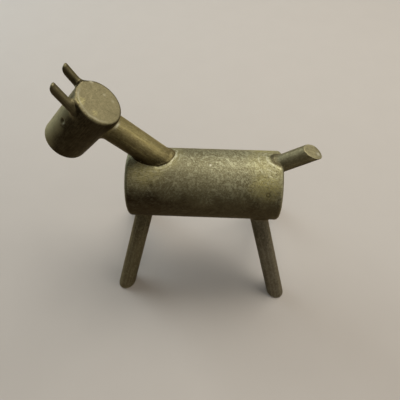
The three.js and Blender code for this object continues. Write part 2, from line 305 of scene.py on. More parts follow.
# ------------------------------------------------------------------ aged brass
def aged_brass(name, low, mid, high, gold, deep, rough=0.5, metal=0.82, bump=1.0, streak=(1.0, 1.0), clouds=1.0):
    """low, mid, high: patina tones; gold: freshly filed brass. Vertex fields steer where each shows."""
    m = bpy.data.materials.new(name)
    m.use_nodes = True
    nt = m.node_tree
    nt.nodes.clear()
    N, L = nt.nodes.new, nt.links.new

    def put(sock, v):
        if isinstance(v, bpy.types.NodeSocket):
            L(v, sock)
        elif v is not None:
            sock.default_value = v

    def math_(op, a, b=None, c=None, clamp=False):
        n = N("ShaderNodeMath"); n.operation = op; n.use_clamp = clamp
        put(n.inputs[0], a); put(n.inputs[1], b); put(n.inputs[2], c)
        return n.outputs[0]

    def spread(v, a, b, lo=0.0, hi=1.0):
        n = N("ShaderNodeMapRange"); n.interpolation_type = "SMOOTHSTEP"
        put(n.inputs[0], v)
        for k, x in zip((1, 2, 3, 4), (a, b, lo, hi)):
            put(n.inputs[k], x)
        return n.outputs[0]

    def mix(f, a, b):
        n = N("ShaderNodeMix"); n.data_type = "RGBA"
        put(n.inputs[0], f); put(n.inputs[6], a); put(n.inputs[7], b)
        return n.outputs[2]

    def field(key, vector=False):
        n = N("ShaderNodeAttribute"); n.attribute_name = key
        return n.outputs["Vector" if vector else "Fac"]

    def tex_noise(vec, scale, detail=4.0, roughness=0.55, distortion=0.0):
        n = N("ShaderNodeTexNoise")
        put(n.inputs["Vector"], vec)
        for k, v in (("Scale", scale), ("Detail", detail), ("Roughness", roughness), ("Distortion", distortion)):
            n.inputs[k].default_value = v
        return n.outputs[0]

    def voronoi(vec, scale, feature="F1", randomness=1.0):
        n = N("ShaderNodeTexVoronoi"); n.feature = feature
        put(n.inputs["Vector"], vec)
        n.inputs["Scale"].default_value = scale
        n.inputs["Randomness"].default_value = randomness
        return n.outputs["Distance"]

    co = N("ShaderNodeTexCoord").outputs["Object"]
    mm = N("ShaderNodeVectorMath"); mm.operation = "SCALE"; mm.inputs["Scale"].default_value = 1000.0
    put(mm.inputs[0], co)
    mm = mm.outputs[0]

    broad = tex_noise(mm, 0.11, 3, 0.5)
    cloud = tex_noise(mm, 0.45, 6, 0.62, 0.4)
    mottle = tex_noise(mm, 1.5, 5, 0.65)
    fine = tex_noise(mm, 5.5, 3, 0.7)
    cells = voronoi(mm, 2.3)
    crystals = N("ShaderNodeTexVoronoi")
    put(crystals.inputs["Vector"], mm)
    crystals.inputs["Scale"].default_value = 2.1
    tint = crystals.outputs["Color"]
    dots = voronoi(mm, 3.6)
    lines = N("ShaderNodeMapping"); put(lines.inputs["Vector"], field("lay", True))
    lines.inputs["Scale"].default_value = (streak[0], streak[1], 1.0)
    lines = tex_noise(lines.outputs[0], 1.0, 4, 0.6)

    hatch = N("ShaderNodeMapping"); put(hatch.inputs["Vector"], field("lay", True))
    hatch.inputs["Scale"].default_value = (0.95, 3.4, 1.0)
    hatch = tex_noise(hatch.outputs[0], 1.0, 3, 0.60, 1.9)

    grain, dark, fresh, worn, pit, peak, shine = (field(k) for k in ("grain", "dark", "fresh", "worn", "pit", "peak", "shine"))

    # patina: two tones in soft clouds
    f = math_("MULTIPLY_ADD", cloud, 0.9 * clouds, 0.5 - 0.45 * clouds)
    f = math_("ADD", f, math_("MULTIPLY_ADD", mottle, 0.9 * clouds, -0.45 * clouds))
    f = math_("ADD", f, math_("MULTIPLY_ADD", broad, 0.8, -0.4), clamp=True)
    colour = mix(f, low, mid)
    # darkening towards the deep tone: the brown-black patina of untouched skin, and painted shade on undersides, lower
    # flanks and the corners between parts
    colour = mix(math_("MULTIPLY", dark, spread(cloud, 0.2, 0.8, 1.0, 0.90)), colour, deep)
    # crystals of the grainy skin, each with a tone of its own, rubbed bright on the high ones
    speck = math_("MULTIPLY", spread(tint, 0.50, 0.95), math_("MULTIPLY", grain, 0.26))
    colour = mix(speck, colour, high)
    colour = mix(math_("MULTIPLY", spread(tint, 0.42, 0.05), math_("MULTIPLY", grain, 0.12)), colour, deep)
    colour = mix(math_("MULTIPLY", spread(peak, 0.50, 0.90), math_("MULTIPLY", grain, 0.42)), colour, high)
    colour = mix(math_("MULTIPLY", spread(fine, 0.48, 0.66), math_("MULTIPLY", grain, 0.26)), colour, high)
    colour = mix(math_("MULTIPLY", spread(fine, 0.50, 0.34), math_("MULTIPLY_ADD", grain, 0.10, 0.05)), colour, deep)
    colour = mix(math_("MULTIPLY", spread(hatch, 0.53, 0.65), math_("MULTIPLY", grain, 0.74)), colour, high)
    colour = mix(math_("MULTIPLY", spread(hatch, 0.47, 0.32), math_("MULTIPLY", grain, 0.24)), colour, deep)
    glint = math_("MULTIPLY", spread(dots, 0.05, 0.20, 1.0, 0.0), spread(cloud, 0.46, 0.60))
    colour = mix(math_("MULTIPLY", glint, math_("MULTIPLY", grain, 0.9)), colour, high)
    # strokes left by file and emery
    stroke = spread(lines, 0.46, 0.66)
    colour = mix(math_("MULTIPLY", fresh, spread(math_("MULTIPLY_ADD", lines, 0.6, mottle), 0.55, 1.0, 0.10, 0.95)), colour, gold)
    colour = mix(math_("MULTIPLY", stroke, math_("MULTIPLY_ADD", fresh, 0.60, 0.04)), colour, high)
    colour = mix(math_("MULTIPLY", worn, spread(mottle, 0.3, 0.6, 0.35, 0.95)), colour, high)
    colour = mix(math_("MULTIPLY", pit, 0.62), colour, deep)
    # near-white tone on the shine field: bare bright metal on small rubbed spots and strokes, and painted highlights
    # such as the spot on the tail's end face, the crown's lit rim, one side of each eye and the filler at the leg roots
    colour = mix(math_("MULTIPLY", shine, spread(fine, 0.30, 0.62, 0.45, 1.0)), colour, (0.82, 0.78, 0.58, 1))

    r = math_("MULTIPLY_ADD", mottle, 0.22, rough - 0.11)
    r = math_("ADD", r, math_("MULTIPLY", grain, 0.05))
    r = math_("SUBTRACT", r, math_("MULTIPLY", worn, 0.08))
    r = math_("ADD", r, math_("MULTIPLY", stroke, -0.05), clamp=True)

    h = math_("MULTIPLY", fine, math_("MULTIPLY_ADD", grain, 0.9, 0.35))
    h = math_("ADD", h, math_("MULTIPLY", spread(cells, 0.0, 0.45), math_("MULTIPLY", grain, 0.9)))
    h = math_("ADD", h, math_("MULTIPLY", hatch, math_("MULTIPLY", grain, 0.8)))
    h = math_("ADD", h, math_("MULTIPLY", lines, math_("MULTIPLY_ADD", fresh, 0.9, 0.22)))
    b = N("ShaderNodeBump")
    b.inputs["Strength"].default_value = 0.55 * bump
    b.inputs["Distance"].default_value = 0.00005
    put(b.inputs["Height"], h)

    s = N("ShaderNodeBsdfPrincipled")
    put(s.inputs["Base Color"], colour)
    s.inputs["Metallic"].default_value = metal
    s.inputs["Specular IOR Level"].default_value = 0.15
    s.inputs["Specular Tint"].default_value = (1.0, 0.87, 0.66, 1)
    put(s.inputs["Roughness"], r)
    put(s.inputs["Normal"], b.outputs[0])
    L(s.outputs[0], N("ShaderNodeOutputMaterial").inputs[0])
    return m


LOW, MID = (0.131, 0.106, 0.049, 1), (0.272, 0.244, 0.134, 1)
HIGH, GOLD = (0.560, 0.545, 0.350, 1), (0.450, 0.392, 0.128, 1)
BODY_M = aged_brass("aged_brass_body", LOW, MID, HIGH, GOLD, (0.029, 0.0155, 0.005, 1), rough=0.58, streak=(0.35, 3.0), clouds=0.6)
NECK_M = aged_brass("aged_brass_neck", (0.165, 0.132, 0.058, 1), (0.370, 0.298, 0.122, 1), (0.62, 0.545, 0.28, 1), (0.52, 0.44, 0.16, 1),
                    (0.026, 0.016, 0.005, 1), rough=0.54, streak=(0.25, 3.5), clouds=0.4)
HEAD_M = aged_brass("aged_brass_head", (0.140, 0.118, 0.062, 1), (0.310, 0.268, 0.142, 1), (0.55, 0.485, 0.27, 1), (0.52, 0.46, 0.18, 1),
                    (0.016, 0.0085, 0.0025, 1), rough=0.56, streak=(0.3, 3.0), clouds=0.4)
TAIL_M = aged_brass("aged_brass_tail", (0.130, 0.112, 0.059, 1), (0.266, 0.235, 0.127, 1), (0.54, 0.48, 0.28, 1), GOLD,
                    (0.030, 0.022, 0.009, 1), rough=0.57, streak=(0.3, 3.5), clouds=0.5)
LEGS_M = aged_brass("aged_brass_legs", (0.084, 0.065, 0.034, 1), (0.182, 0.151, 0.084, 1), (0.48, 0.43, 0.26, 1), GOLD,
                    (0.022, 0.013, 0.006, 1), rough=0.54, streak=(0.2, 3.5), clouds=0.5)

REAR_M = aged_brass("aged_brass_rear_legs", (0.086, 0.071, 0.047, 1), (0.192, 0.167, 0.122, 1), (0.48, 0.44, 0.31, 1), GOLD,
                    (0.021, 0.014, 0.008, 1), rough=0.54, streak=(0.2, 3.5), clouds=0.5)

# ------------------------------------------------------------------ where the bars lie
body_ax = Axes(ORIGIN + [-BODY_L / 2, 0, 0], (1, 0, 0), (0, 0, 1))            # angle 0 up, +90 the animal's left
EY = np.array([0.0, 1.0, 0.0])
neck_w, crown_w, fore_w = in_xz(180 - NECK_RISE), in_xz(90 - NECK_RISE + HEAD_TURN), in_xz(180 - NECK_RISE + HEAD_TURN)
side_w = EY * math.cos(rad(HEAD_ROLL)) + crown_w * math.sin(rad(HEAD_ROLL))
crown_w = crown_w * math.cos(rad(HEAD_ROLL)) - EY * math.sin(rad(HEAD_ROLL))
neck_ax = Axes(ORIGIN + [NECK_FOOT[0], NECK_FOOT[1], BODY_R], neck_w)
head_mid = neck_ax.o + neck_w * NECK_TO_HEAD
head_ax = Axes(head_mid - crown_w * (HEAD_L - HEAD_BACK), crown_w, fore_w)      # angle 0 forehead, +90 the animal's left
tail_w = in_xz(TAIL_RISE)
tail_ax = Axes(ORIGIN + np.array(TAIL_LINE), tail_w)
BODY, HEAD = Round(body_ax, BODY_R, BODY_L, BODY_EDGE), Round(head_ax, HEAD_R - 0.10, HEAD_L, 0.5)


def level(value):
    return lambda x, y: np.full(len(x), float(value))


def plane_cut(ax, point, normal):
    """z at which lines along the bar meet a plane"""
    k = ax.w @ normal
    return lambda x, y: ((point - ax.o) @ normal - x * (ax.u @ normal) - y * (ax.v @ normal)) / k


def upward(n, P, seed, a=-0.15, b=0.85):
    """1 where the surface faces up and gets handled, 0 underneath, with a broken edge between; it also sets painted
    shade on undersides
    """
    return smooth(n[:, 2] + 0.16 * fbm(P, 3.5, seed), a, b)


def skin(P, grain, seed):
    """depth in millimetres of the etched, grainy skin, how far each point is down a pit, and how far up a peak"""
    p = pits(P, 0.95, 0.55, 0.22, 0.5, seed)
    g = fbm(P, 0.75, seed + 40, 2, 0.6)
    dings = pits(P, 5.0, 0.22, 0.4, 1.0, seed + 80)
    wave = 0.5 + 0.5 * fbm(P, 9.0, seed + 60, 3)
    depth = 0.05 * wave + grain * (0.050 * p + 0.075 * (0.5 - 0.5 * g)) + 0.008 * (0.5 - 0.5 * g) + 0.05 * dings
    return depth, np.clip(grain * p * 0.9 + 0.5 * dings, 0, 1), np.clip(0.5 + 0.75 * g, 0, 1)


def stub(ax, radius, z0):
    """distance to a bar that runs on without end from z0"""
    def distance(P):
        x, y, z = ax.local(P)
        return np.maximum(np.hypot(x, y) - radius, z0 - z)
    return distance


def fillet(P, n, others):
    """filler metal drawn up where a surface with normals n meets its neighbours: how far it stands out, and
    1 in the corner to 0 at the filler's edge. others: (distance function, breadth, swelling or None, seed)"""
    height, close = np.zeros(len(P)), np.zeros(len(P))
    for distance, broad, swell, seed in others:
        b = distance(P)
        near_it = np.nonzero(b < broad * 4)[0]
        if not len(near_it):
            continue
        Q, m = P[near_it], n[near_it]
        k = broad * (1 + 0.40 * fbm(Q, 2.4, seed, 3))
        if swell is not None:
            k = k * swell(Q)
        h = np.zeros(len(Q))
        for _ in range(14):
            d = distance(Q + m * h[:, None])
            h = h - 0.8 * (np.minimum(h, d) - np.maximum(k - np.abs(h - d), 0) ** 2 / (4 * k))
            h = np.clip(h, 0, 0.27 * k)
        b = b[near_it]
        height[near_it] = np.maximum(height[near_it], h * (1 + 0.12 * fbm(Q, 0.8, seed + 3, 2)))
        close[near_it] = np.maximum(close[near_it], np.clip(1 - b / k, 0, 1))
    return height, close


def swollen(*spots):
    """swelling that grows by `gain` within `radius` of each point"""
    def f(P):
        g = np.ones(len(P))
        for point, radius, gain in spots:
            g = g + gain * np.exp(-(np.linalg.norm(P - np.asarray(point, float), axis=1) / radius) ** 2)
        return g
    return f


def on_body(x, th):
    t = rad(th)
    return body_ax.o + np.array([x, -BODY_R * math.sin(t), BODY_R * math.cos(t)])


NECK_ROOT = swollen((on_body(15.0, 0.0), 4.0, -0.35))


def tail_root(P):
    """thickest towards the head, gone before the body's end"""
    g = swollen((on_body(49.5, 12.0), 3.6, 0.5))(P)
    return g * (0.08 + 0.92 * smooth((P - ORIGIN)[:, 0], BODY_L / 2 - 0.4, BODY_L / 2 - 3.4))


REAR_BLOB = swollen((on_body(50.3, 106.0), 2.6, 1.3))


def finish_bar(name, ax, mesh, depth, fields, material, replaces, lay=None):
    V, quads, tris, info = mesh
    n = corner_normals(V, quads, tris)
    if volume(V, quads, tris) < 0:
        n = -n
    V2 = V - n * depth[:, None]
    if lay is None:
        r = max(info["r"].max(), 1e-6)
        flat = (info["region"] < 0.01) | (info["region"] > 1.99)
        x, y, z = ax.local(V)
        lay = np.stack([np.where(flat, x, z), np.where(flat, y, info["ang"] * r), info["region"]], -1)
    fields = {"grain": 0, "dark": 0, "fresh": 0, "worn": 0, "pit": 0, "peak": 0.5, "shine": 0, **fields}
    fields = {k: np.clip(np.broadcast_to(v, len(V)), 0, 1) for k, v in fields.items()}
    fields["lay"] = lay
    return piece(name, V2, quads, tris, fields, material, replaces)


def outward(V, quads, tris):
    n = corner_normals(V, quads, tris)
    return -n if volume(V, quads, tris) < 0 else n


# ------------------------------------------------------------------ body
def make_body():
    mesh = bar(body_ax, BODY_R, 348, 232, 22, (BODY_EDGE, BODY_EDGE), level(0), level(BODY_L))
    V, quads, tris, info = mesh
    n = outward(V, quads, tris)
    x, th, region, r = info["z"], np.degrees(info["ang"]), info["region"], info["r"]
    side = (region > 0.5) & (region < 1.5)
    arc = np.radians(th) * BODY_R
    up = upward(n, V, 11)
    # rough skin on the back, coarsest over the rump, running down the flanks a little at the front
    grain = smooth(np.cos(np.radians(np.abs(th) - 6)) + 0.22 * fbm(V, 4.0, 21), 0.18, 0.92) * (0.60 + 0.40 * smooth(x, 12, 36))
    grain = np.where(side, np.maximum(grain, 0.10), 0.25)
    # filler round everything that stands on the body
    stands = [(stub(neck_ax, NECK_R, 0.0), 1.9, NECK_ROOT, 21), (stub(tail_ax, TAIL_R, -5.0), 1.4, tail_root, 41)]
    for name, foot, hip, sgn, seed in LEGS:
        leg = leg_axes(foot, hip, sgn)
        back = Axes(leg.o + leg.w * 41.0, -leg.w)
        stands.append((stub(back, LEG_R, 0.0), 1.3, REAR_BLOB if name == "leg_rear_left" else None, seed + 50))
    height, close = fillet(V, n, stands)
    # filed round the root of the tail and lightly round the root of the neck
    wob = fbm(V, 3.0, 31)
    d_tail = np.hypot(x - 50.0, arc * 0.80) + 1.6 * wob
    filed = smooth(d_tail, 9.5, 4.5) * side
    nx, ny, nz = neck_ax.local(V)
    d_neck = np.hypot(nx, ny) - NECK_R
    ring = smooth(d_neck + 0.7 * wob, 3.6, 0.8) * side * smooth(x, 3.0, 12.0) * (nz > -14)
    shoulder = smooth(np.hypot(x - 7.0, (np.abs(th) - 27.0) * math.pi / 180 * BODY_R * 1.2) + 1.5 * fbm(V, 2.0, 35), 8.0, 2.0) * side
    depth, pit, peak = skin(V, np.clip(grain * (1 - 0.35 * ring), 0, 1), 3)
    # curved file strokes
    phi, phn = np.arctan2(arc, x - 50.0), np.arctan2(ny, nx)
    stroke = noise(np.stack([d_tail * 2.2, phi * 3.0, 0 * x], -1), 1.0, 51)
    stroke_n = noise(np.stack([d_neck * 2.4, phn * 2.2, 0 * x], -1), 1.0, 53)
    depth += 0.035 * filed * (0.5 + 0.5 * stroke) + 0.030 * ring * (0.5 + 0.5 * stroke_n)
    # small drilled ring low on the left flank near the rump, and a fainter nick further forward
    for cx, ct, rad0, wid, dep in ((49.6, 55.0, 0.62, 0.26, 0.10), (9.4, 45.7, 0.30, 0.30, 0.06)):
        d = np.hypot(x - cx, (th - ct) * math.pi / 180 * BODY_R)
        k = np.exp(-((d - rad0) / wid) ** 2) * side
        depth += dep * k
        pit = np.maximum(pit, 0.9 * k)
    chip = np.exp(-(np.hypot(x - 29.6, (th - 9.5) * math.pi / 180 * BODY_R) / 0.36) ** 2) * side
    # shallow scratches here and there
    rng = np.random.default_rng(7)
    for _ in range(34):
        cx, ct, turn, ln = rng.uniform(3, 52), rng.uniform(-175, 175), rng.normal(0, 0.5), rng.uniform(0.8, 3.5)
        dx, dy = x - cx, (th - ct) * math.pi / 180 * BODY_R
        s, t = dx * math.cos(turn) + dy * math.sin(turn), -dx * math.sin(turn) + dy * math.cos(turn)
        k = np.exp(-(t / 0.15) ** 2) * smooth(np.abs(s), ln, ln * 0.7) * side
        depth += 0.020 * k
    # saw marks on the two ends
    ends = 1.0 - side
    u, v, _ = body_ax.local(V)
    saw = noise(np.stack([(u * 0.94 + v * 0.34) * 2.4, (v * 0.94 - u * 0.34) * 0.16, 0 * u], -1), 1.0, 61)
    depth += 0.030 * ends * (0.5 + 0.5 * saw)
    rim = smooth(np.minimum(x, BODY_L - x), 1.3, 0.15) * smooth(r, BODY_R - 1.6, BODY_R - 0.5)
    depth = depth * (1 - 0.5 * close) - height
    # pale rings brushed round the root of the neck
    arcs = np.zeros(len(V))
    for off, wide, seed, gain in ((0.55, 0.22, 71, 0.9), (1.05, 0.16, 73, 0.8), (1.9, 0.15, 77, 0.45)):
        k = np.exp(-((d_neck - off + 0.55 * fbm(V, 2.6, seed)) / wide) ** 2) * smooth(fbm(V, 1.5, seed + 1), -0.14, 0.18)
        arcs = np.maximum(arcs, gain * k)
    arcs = arcs * side * (nz > -14) * smooth(x, 5, 11)
    # pale strokes drawn round the root of the tail
    tx, ty, _ = tail_ax.local(V)
    d_root = np.hypot(tx, ty) - TAIL_R
    for off, wide, seed in ((1.15, 0.24, 81), (1.9, 0.16, 83), (2.9, 0.15, 87), (4.2, 0.14, 89)):
        k = np.exp(-((d_root - off + 0.45 * fbm(V, 2.2, seed)) / wide) ** 2) * smooth(fbm(V, 1.6, seed + 1), -0.2, 0.25)
        arcs = np.maximum(arcs, (0.50 if off > 2 else 0.70) * k * side * smooth(x, 42, 46) * smooth(np.abs(th), 60, 35))
    worn = 0.30 * rim * (0.3 + 0.7 * up) + 0.10 * ends + 0.12 * close * up + 0.35 * arcs
    shine = np.clip(0.55 * arcs + 0.9 * chip, 0, 1)
    # the tail's dark skin runs on over its filler
    skirt = smooth(d_root + 0.35 * fbm(V, 1.8, 85), 1.05, 0.6) * side * smooth(np.abs(th), 55, 30) * smooth(x, 42, 45)
    # darker on the lower flanks and towards the front of the back: partly dark patina, partly painted shade
    front = smooth(x, 30, 6)
    low = smooth(np.abs(th) + 9 * fbm(V, 4.0, 37), 45 - 5 * front, 86 - 16 * front)
    dark = np.where(side, np.maximum(low * (0.84 + 0.16 * front), np.maximum(0.24 * smooth(x, 42, 16), 0.80 * skirt)), 0.55)
    flank = smooth(np.hypot((x - 48.5) / 1.25, (np.abs(th) - 46.0) * math.pi / 180 * BODY_R) + 1.4 * fbm(V, 2.2, 39), 6.2, 1.5) * side
    fresh = (1 - 0.8 * skirt) * np.clip(filed * 0.28 + ring * 0.30 + shoulder * 0.45 + 0.85 * flank, 0, 1) * (0.35 + 0.65 * up)
    slope = 0.45 * noise(V, 11.0, 86)
    lay = np.stack([x * np.cos(slope) - arc * np.sin(slope), arc * np.cos(slope) + x * np.sin(slope), region], -1)
    k = filed[:, None]
    lay = lay * (1 - k) + k * np.stack([phi * 7.0, d_tail * 0.8, region], -1)
    k = ring[:, None]
    lay = lay * (1 - k) + k * np.stack([phn * 6.0, d_neck * 0.9, region], -1)
    ends_lay = np.stack([v * 0.94 - u * 0.34, u * 0.94 + v * 0.34, region], -1)
    lay = np.where((ends > 0.5)[:, None], ends_lay, lay)
    return finish_bar("bar_body", body_ax, mesh, depth,
                      dict(grain=grain * (1 - 0.75 * skirt), dark=dark, fresh=fresh, worn=worn * (1 - 0.8 * skirt), pit=pit, peak=peak * (1 - 0.3 * skirt), shine=shine), BODY_M, "body", lay)


# ------------------------------------------------------------------ neck
NECK_SPOT = -122.0


def make_neck():
    at_body = lambda x, y: BODY.reach(neck_ax, x, y, 14.0, -1) - 1.6
    at_head = lambda x, y: HEAD.reach(neck_ax, x, y, 10.0, 1) + 1.0
    mesh = bar(neck_ax, NECK_R, 168, 150, 6, (0.2, 0.2), at_body, at_head)
    V, quads, tris, info = mesh
    n = outward(V, quads, tris)
    z, ang = info["z"], info["ang"]
    up = upward(n, V, 12, -0.2, 0.75)
    grain = 0.40 * up
    depth, pit, peak = skin(V, grain, 203)
    lines = noise(np.stack([ang * NECK_R * 2.6, z * 0.10, 0 * z], -1), 1.0, 71)
    depth += 0.012 * (0.5 + 0.5 * lines)
    fresh = up * (0.12 + 0.40 * smooth(lines, 0.0, 0.8))
    height, close = fillet(V, n, [(BODY.distance, 1.9, NECK_ROOT, 21), (HEAD.distance, 1.3, None, 31)])
    depth = depth * (1 - 0.5 * close) - height
    # painted shade on the underside where it stands on the body; the neck darker underneath: partly dark patina, partly
    # painted shade
    root = smooth(BODY.distance(V) + 0.5 * fbm(V, 1.5, 75), 2.4, 0.6) * up
    dark = 1 - smooth(n[:, 2] + 0.10 * fbm(V, 3.0, 12), 0.06, 0.76)
    # darker and with fewer bright strokes where it stands on the body: painted shade in the corner against the body; a
    # bright spot close under the crown and a few specks after it
    root_shade = smooth(BODY.distance(V) + 0.8 * fbm(V, 1.5, 76), 4.6, 0.8)
    turn = (np.degrees(ang) - NECK_SPOT + 180) % 360 - 180
    shine = np.clip(1.0 * np.exp(-(np.abs(HEAD.distance(V) - 0.80) / 0.42) ** 2) * np.exp(-(turn / 15.0) ** 2), 0, 1)
    specks = pits(V, 1.3, 0.20, 0.12, 0.30, 79) * smooth(np.abs(turn), 36, 12) * smooth(HEAD.distance(V), 9.0, 3.0)
    low_specks = pits(V, 1.1, 0.18, 0.12, 0.30, 78) * smooth(BODY.distance(V), 8.0, 1.0)
    shine = np.maximum(shine, np.maximum(0.75 * specks, 0.45 * low_specks))
    # the neck's dark field: painted shade under its root, on the filler against the body and where it stands on the
    # body
    return finish_bar("bar_neck", neck_ax, mesh, depth,
                      dict(grain=grain, dark=np.clip(dark * 0.97 + 0.35 * root * (1 - up) + 0.34 * root_shade + 0.22 * close * smooth(BODY.distance(V), 3, 1), 0, 1), fresh=fresh * (1 - 0.8 * root_shade),
                           worn=0.10 * up * (1 - root_shade), pit=pit * 0.8, peak=peak, shine=shine),
                      NECK_M, "neck")


# ------------------------------------------------------------------ head
def make_head():
    mesh = bar(head_ax, HEAD_R, 312, 128, 32, (NOSE_EDGE, CROWN_EDGE), level(0), level(HEAD_L))
    V, quads, tris, info = mesh
    z, th, region, r = info["z"], np.degrees(info["ang"]), info["region"], info["r"]
    u, v, _ = head_ax.local(V)
    slim = 1 - HEAD_TAPER / HEAD_R * (1 - z / HEAD_L)
    u, v = u * slim, v * slim
    V[:] = head_ax.world(u, v, z)
    n = outward(V, quads, tris)
    arc = np.radians(th) * HEAD_R
    crown, nose = region > 1.5, region < 0.5
    side = ~crown & ~nose
    up = upward(n, V, 13)
    grain = np.where(crown, 0.26, 0.14 * up + 0.02)
    depth, pit, peak = skin(V, grain, 403)
    pit = pit * np.where(crown, 0.35, 0.4)
    depth[crown] *= 0.6
    # saw marks slanting over the crown
    a = rad(62.0)
    along, across = u * math.cos(a) + v * math.sin(a), -u * math.sin(a) + v * math.cos(a)
    saw = noise(np.stack([across * 1.3, along * 0.30, 0 * u], -1), 1.0, 91)
    depth += 0.005 * crown * (0.5 + 0.5 * saw)
    for c0, l0, l1 in ((-1.6, -6.2, -1.8), (-3.0, -5.4, -0.6)):
        k = np.exp(-((across - c0) / 0.17) ** 2) * smooth(along, l0, l0 + 1) * smooth(along, l1, l1 - 1) * crown
        depth += 0.025 * k
        pit = np.maximum(pit, 0.20 * k)
    # turned rings on the nose
    depth += 0.012 * nose * (0.5 + 0.5 * np.sin(r * 9.0))
    # drill-point eyes
    for sgn in (1, -1):
        d = np.hypot(z - (HEAD_L - EYE_FROM_CROWN), (th - sgn * EYE_ANGLE) * math.pi / 180 * HEAD_R)
        cone = np.clip(1 - d / (EYE_R * 1.12), 0, 1)
        depth += side * EYE_DEPTH * cone ** 0.8
        shade = 0.55 + 0.45 * np.clip(((z - (HEAD_L - EYE_FROM_CROWN)) * 0.6 - (np.abs(th) - EYE_ANGLE) * math.pi / 180 * HEAD_R) / EYE_R, -1, 1)
        pit = np.maximum(pit, side * smooth(cone, 0.02, 0.25) * shade)
    # scratches by the left eye, a nick on the forehead
    for (z0, t0, z1, t1, w, dep) in ((11.5, 43.0, 12.9, 57.5, 0.17, 0.09), (10.2, 66.0, 12.3, 60.0, 0.14, 0.04), (16.3, -62.0, 17.7, -48.0, 0.15, 0.05)):
        p0, p1 = np.array([z0, t0 * math.pi / 180 * HEAD_R]), np.array([z1, t1 * math.pi / 180 * HEAD_R])
        q = np.stack([z, arc], -1)
        t = np.clip((q - p0) @ (p1 - p0) / ((p1 - p0) @ (p1 - p0)), 0, 1)
        d = np.linalg.norm(q - p0 - t[:, None] * (p1 - p0), axis=1)
        k = np.exp(-(d / w) ** 2) * side
        depth += dep * k
        pit = np.maximum(pit, 0.6 * k)
    d = np.hypot((z - 7.7) / 1.3, (th - 5.0) * math.pi / 180 * HEAD_R)
    k = np.clip(1 - (d / 0.62) ** 2, 0, 1) ** 2 * side
    depth += 0.16 * k
    pit = np.maximum(pit, 0.6 * k)
    # filler behind the ears and where the neck meets the head
    back = Axes(neck_ax.o + neck_w * (NECK_TO_HEAD + 2), -neck_w)
    stands = [(stub(back, NECK_R, 0.0), 1.3, None, 31)]
    for sgn in (-1, 1):
        ea = ear_axes(sgn)
        stands.append((stub(ea, EAR_R, 0.0), 1.1, ear_root(sgn), 45 + sgn))
    height, close = fillet(V, n, stands)
    depth = depth * (1 - 0.5 * close) - height
    rim = smooth(HEAD_L - z, 0.7, 0.1) * smooth(r, HEAD_R - 0.95, HEAD_R - 0.45)
    low_rim = smooth(z, 2.0, 0.5) * smooth(r, HEAD_R - 2.0, HEAD_R - 0.8)
    gold_patch = np.maximum(smooth(np.hypot((u - 5.1) * 0.9, (v - 3.5) * 0.8) + 0.9 * fbm(V, 0.9, 95, 3), 1.7, 0.5),
                            smooth(np.hypot(u - 0.2, v - 4.9) + 0.8 * fbm(V, 0.8, 96, 3), 1.4, 0.4)) * crown
    edge_lit = smooth(v * 0.72 + u * 0.35 + 1.5 * fbm(V, 2.5, 97), 1.0, 6.0)
    # the side of the crown's rim turned from the light, darkened below as painted shade
    rim_unlit = smooth(v * 0.72 + u * 0.35 + 1.0 * fbm(V, 2.5, 98), 0.5, -3.5)
    worn = np.clip(rim * 0.18 * edge_lit * ~crown + 0.10 * low_rim * up + crown * (0.24 + 0.06 * smooth(saw, -0.2, 0.7)) * (1 - 0.5 * rim_unlit * rim), 0, 1)
    fresh = 0.75 * gold_patch + 0.10 * rim * edge_lit
    # a pale, uneven line just inside the crown's rim on its lit side: painted highlight; and a few bright flecks
    inner = np.exp(-((r - (HEAD_R - 1.12) + 0.30 * fbm(V, 1.6, 99)) / 0.30) ** 2) * crown
    line = inner * smooth(v * 0.80 + u * 0.50, 1.5, 5.0) * (0.65 + 0.5 * fbm(V, 1.3, 94))
    flecks = pits(V, 1.4, 0.16, 0.12, 0.34, 93) * crown
    # a pale painted highlight near the crown's far rim, and two fainter pale spots
    top = np.exp(-(np.hypot(u - 4.4, v + 6.0) / 0.6) ** 2) * crown
    for cu, cv in ((-0.9, -4.0), (-4.1, -3.5)):
        top = np.maximum(top, 0.5 * np.exp(-(np.hypot(u - cu, v - cv) / 0.45) ** 2) * crown)
    t = np.clip((-2.2 - u) / 4.0, 0, 1)
    pit = np.maximum(pit, 0.22 * np.exp(-(np.hypot(u + 2.2 + 4.0 * t, v - 1.4 + 0.45 * t) / 0.32) ** 2) * crown)
    behind = pits(V, 1.3, 0.25, 0.15, 0.42, 92) * side * smooth(z, HEAD_L - 5.0, HEAD_L - 2.5) * smooth(np.abs(th), 60, 40)
    # a pale rim on one side of each eye: painted highlight
    rim_e = np.zeros(len(V))
    for sgn in (1, -1):
        a, b = z - (HEAD_L - EYE_FROM_CROWN), (th - sgn * EYE_ANGLE) * math.pi / 180 * HEAD_R * sgn
        d = np.hypot(a, b)
        rim_e = np.maximum(rim_e, np.exp(-((d - EYE_R * 1.15) / 0.20) ** 2) * smooth((b + 0.3 * a) / EYE_R, -0.1, 0.9))
    shine = np.clip(0.50 * line + 0.45 * flecks + 0.65 * top + 0.40 * behind + 0.18 * rim_e * side, 0, 1)
    # head sides darker than the forehead: partly dark patina, partly painted shade on the sides turned from the light
    muzzle = smooth(z, 13, 4)
    fore = smooth(np.abs(th) + 10 * fbm(V, 4.0, 14) - 9 * muzzle, 30, 62)
    fore = np.maximum(fore, 0.40 * smooth(z + 1.5 * fbm(V, 3.0, 88), 9, 16))
    shade = 0.55 * smooth(z + 1.6 * fbm(V, 1.6, 90), HEAD_L - 5.0, HEAD_L - 1.6) * smooth(np.abs(th), 70, 45)
